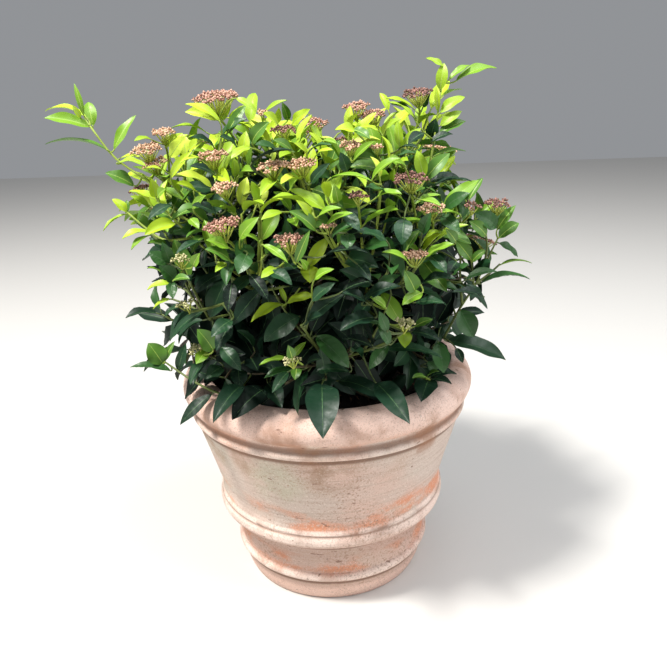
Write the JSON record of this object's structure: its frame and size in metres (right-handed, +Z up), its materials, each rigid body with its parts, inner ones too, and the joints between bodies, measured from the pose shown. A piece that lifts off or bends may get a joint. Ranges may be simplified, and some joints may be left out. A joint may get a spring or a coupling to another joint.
{
  "type": "potted laurustinus",
  "caption": "Evergreen laurustinus shrub in flower bud, with paired oval leaves on a short stem, standing in a rolled-rim terracotta pot for a patio or garden.",
  "frame": {"origin": "centre of the pot's flat underside, where it stands", "axes": "+Z up along the pot's axis, +X to the viewer's right, and -Y towards the viewer, the side that shows in the picture"},
  "size_m": [0.5651, 0.5357, 0.662],
  "materials": {
    "terracotta": "dry, bleached and weathered unglazed clay",
    "compost": "rough, crumbly and dark",
    "bark": "matt, finely cracked",
    "foliage": "leathery leaves with a soft gloss"
  },
  "bodies": {
    "root": {"pot": "terracotta", "soil": "compost", "trunk": "bark", "bough_low_1": "bark", "bough_low_2": "bark", "bough_low_3": "bark", "bough_low_4": "bark", "bough_low_5": "bark", "bough_low_6": "bark", "bough_middle_1": "bark", "bough_middle_2": "bark", "bough_middle_3": "bark", "bough_middle_4": "bark", "bough_middle_5": "bark", "bough_middle_6": "bark", "bough_middle_7": "bark", "bough_top_1": "bark", "bough_top_2": "bark", "bough_top_3": "bark", "foliage_low_1": "foliage", "foliage_low_2": "foliage", "foliage_low_3": "foliage", "foliage_low_4": "foliage", "foliage_low_5": "foliage", "foliage_low_6": "foliage", "foliage_middle_1": "foliage", "foliage_middle_2": "foliage", "foliage_middle_3": "foliage", "foliage_middle_4": "foliage", "foliage_middle_5": "foliage", "foliage_middle_6": "foliage", "foliage_middle_7": "foliage", "foliage_top_1": "foliage", "foliage_top_2": "foliage", "foliage_top_3": "foliage"}
  },
  "joints": []
}
